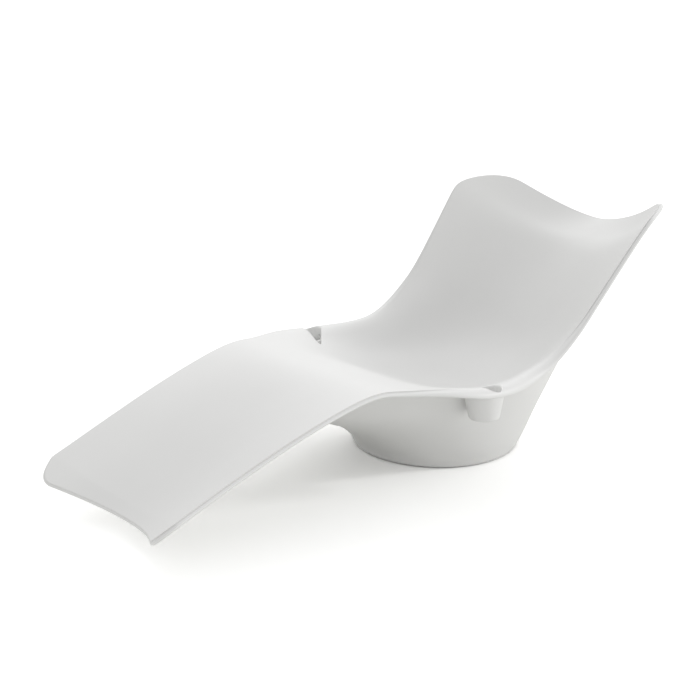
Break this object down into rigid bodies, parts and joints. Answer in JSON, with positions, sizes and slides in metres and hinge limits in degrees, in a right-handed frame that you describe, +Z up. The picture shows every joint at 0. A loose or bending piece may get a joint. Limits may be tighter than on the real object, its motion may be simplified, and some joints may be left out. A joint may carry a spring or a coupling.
{
  "type": "spa relaxation lounger",
  "caption": "One-piece moulded relaxation lounger with a wave-shaped bowed shell, a pocket cup at each side of the seat and a flared round pedestal on levelling feet.",
  "frame": {"origin": "on the floor, below the middle of the overall box", "axes": "+X from the foot end towards the head end, +Y to the sitter's left, +Z up"},
  "size_m": [1.9253, 0.8192, 0.6868],
  "materials": {
    "shell": "white gelcoat",
    "cup": "white gelcoat",
    "web": "raw laminate",
    "plate": "black paint",
    "zinc": "zinc plated",
    "foot": "black moulded",
    "sole": "ribbed rubber"
  },
  "bodies": {
    "lounger": {"seat_shell": "shell", "pedestal_shell": "shell", "pocket_cup_left": "cup", "pocket_cup_right": "cup", "long_web_left": "web", "long_web_right": "web", "cross_web_front": "web", "cross_web_rear": "web", "gusset_left": "web", "gusset_right": "web", "base_plate": "plate", "ballast_plate": "plate", "ballast_bolts": "zinc", "base_screws": "zinc", "foot_nuts": "zinc"},
    "foot_front_left": {"foot_front_left": "foot", "foot_sole_front_left": "sole"},
    "foot_front_right": {"foot_front_right": "foot", "foot_sole_front_right": "sole"},
    "foot_rear_left": {"foot_rear_left": "foot", "foot_sole_rear_left": "sole"},
    "foot_rear_right": {"foot_rear_right": "foot", "foot_sole_rear_right": "sole"}
  },
  "joints": [
    {"name": "level_front_left", "type": "slide", "parent": "lounger", "child": "foot_front_left", "axis": [0, 0, -1], "range_m": [0, 0.01]},
    {"name": "level_front_right", "type": "slide", "parent": "lounger", "child": "foot_front_right", "axis": [0, 0, -1], "range_m": [0, 0.01]},
    {"name": "level_rear_left", "type": "slide", "parent": "lounger", "child": "foot_rear_left", "axis": [0, 0, -1], "range_m": [0, 0.01]},
    {"name": "level_rear_right", "type": "slide", "parent": "lounger", "child": "foot_rear_right", "axis": [0, 0, -1], "range_m": [0, 0.01]}
  ]
}
